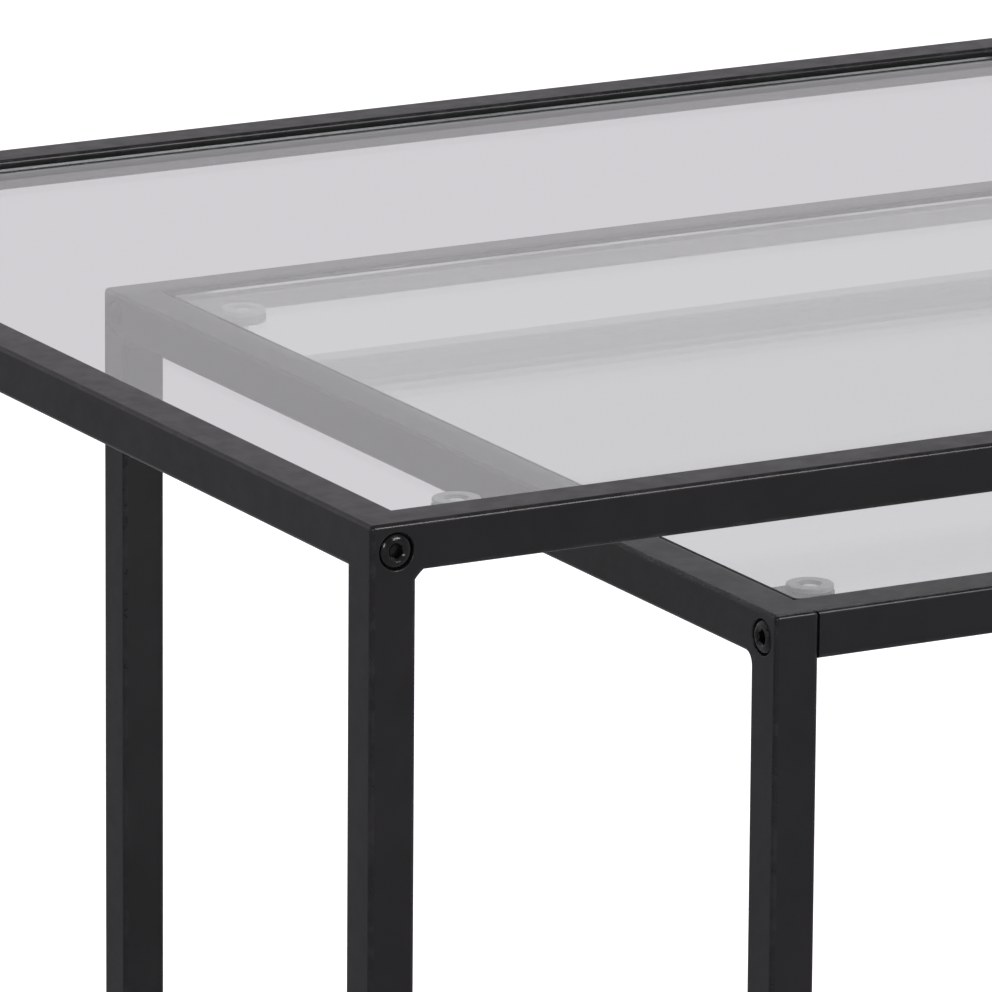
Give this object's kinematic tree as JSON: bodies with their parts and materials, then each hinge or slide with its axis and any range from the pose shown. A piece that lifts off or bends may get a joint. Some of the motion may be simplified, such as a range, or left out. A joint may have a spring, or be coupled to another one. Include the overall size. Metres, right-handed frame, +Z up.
{
  "type": "nesting tables",
  "caption": "Pair of nesting side tables with slim black square-tube frames and drop-in clear glass tops; the small table slides out from under the large one.",
  "frame": {"origin": "on the floor, at the middle of the box that the two tables fill with the small one partly drawn out", "axes": "+X is the way the small table is drawn out, +Y is towards the back, +Z is up"},
  "size_m": [0.6568, 0.4808, 0.5],
  "materials": {
    "frame": "black powder coat, satin, fine texture",
    "glass": "clear tempered float glass, ground edges, faint green in the edge",
    "pad": "clear soft silicone",
    "bolt": "black oxide, slightly glossy",
    "plug": "zinc plated",
    "foot": "black moulded plastic"
  },
  "bodies": {
    "outer_table": {"outer_front_frame": "frame", "outer_back_frame": "frame", "outer_left_rail": "frame", "outer_right_rail": "frame", "outer_bolt_front_left": "bolt", "outer_bolt_front_right": "bolt", "outer_bolt_back_left": "bolt", "outer_bolt_back_right": "bolt", "outer_plug_front_left": "plug", "outer_plug_front_right": "plug", "outer_plug_back_left": "plug", "outer_plug_back_right": "plug", "outer_tab_front_left": "frame", "outer_tab_front_right": "frame", "outer_tab_back_left": "frame", "outer_tab_back_right": "frame", "outer_pad_front_left": "pad", "outer_pad_front_right": "pad", "outer_pad_back_left": "pad", "outer_pad_back_right": "pad", "outer_foot_front_left": "foot", "outer_foot_front_right": "foot", "outer_foot_back_left": "foot", "outer_foot_back_right": "foot"},
    "outer_top": {"outer_glass": "glass"},
    "inner_table": {"inner_left_frame": "frame", "inner_right_frame": "frame", "inner_front_rail": "frame", "inner_back_rail": "frame", "inner_bolt_front_left": "bolt", "inner_bolt_front_right": "bolt", "inner_bolt_back_left": "bolt", "inner_bolt_back_right": "bolt", "inner_plug_front_left": "plug", "inner_plug_front_right": "plug", "inner_plug_back_left": "plug", "inner_plug_back_right": "plug", "inner_tab_front_left": "frame", "inner_tab_front_right": "frame", "inner_tab_back_left": "frame", "inner_tab_back_right": "frame", "inner_pad_front_left": "pad", "inner_pad_front_right": "pad", "inner_pad_back_left": "pad", "inner_pad_back_right": "pad", "inner_foot_front_left": "foot", "inner_foot_front_right": "foot", "inner_foot_back_left": "foot", "inner_foot_back_right": "foot"},
    "inner_top": {"inner_glass": "glass"}
  },
  "joints": [
    {"name": "inner_table_slide", "type": "slide", "parent": "outer_table", "child": "inner_table", "axis": [1, 0, 0], "range_m": [-0.1265, 0.4185]},
    {"name": "outer_glass_lift", "type": "slide", "parent": "outer_table", "child": "outer_top", "axis": [0, 0, 1], "range_m": [0, 0.012]},
    {"name": "inner_glass_lift", "type": "slide", "parent": "inner_table", "child": "inner_top", "axis": [0, 0, 1], "range_m": [0, 0.012]}
  ]
}
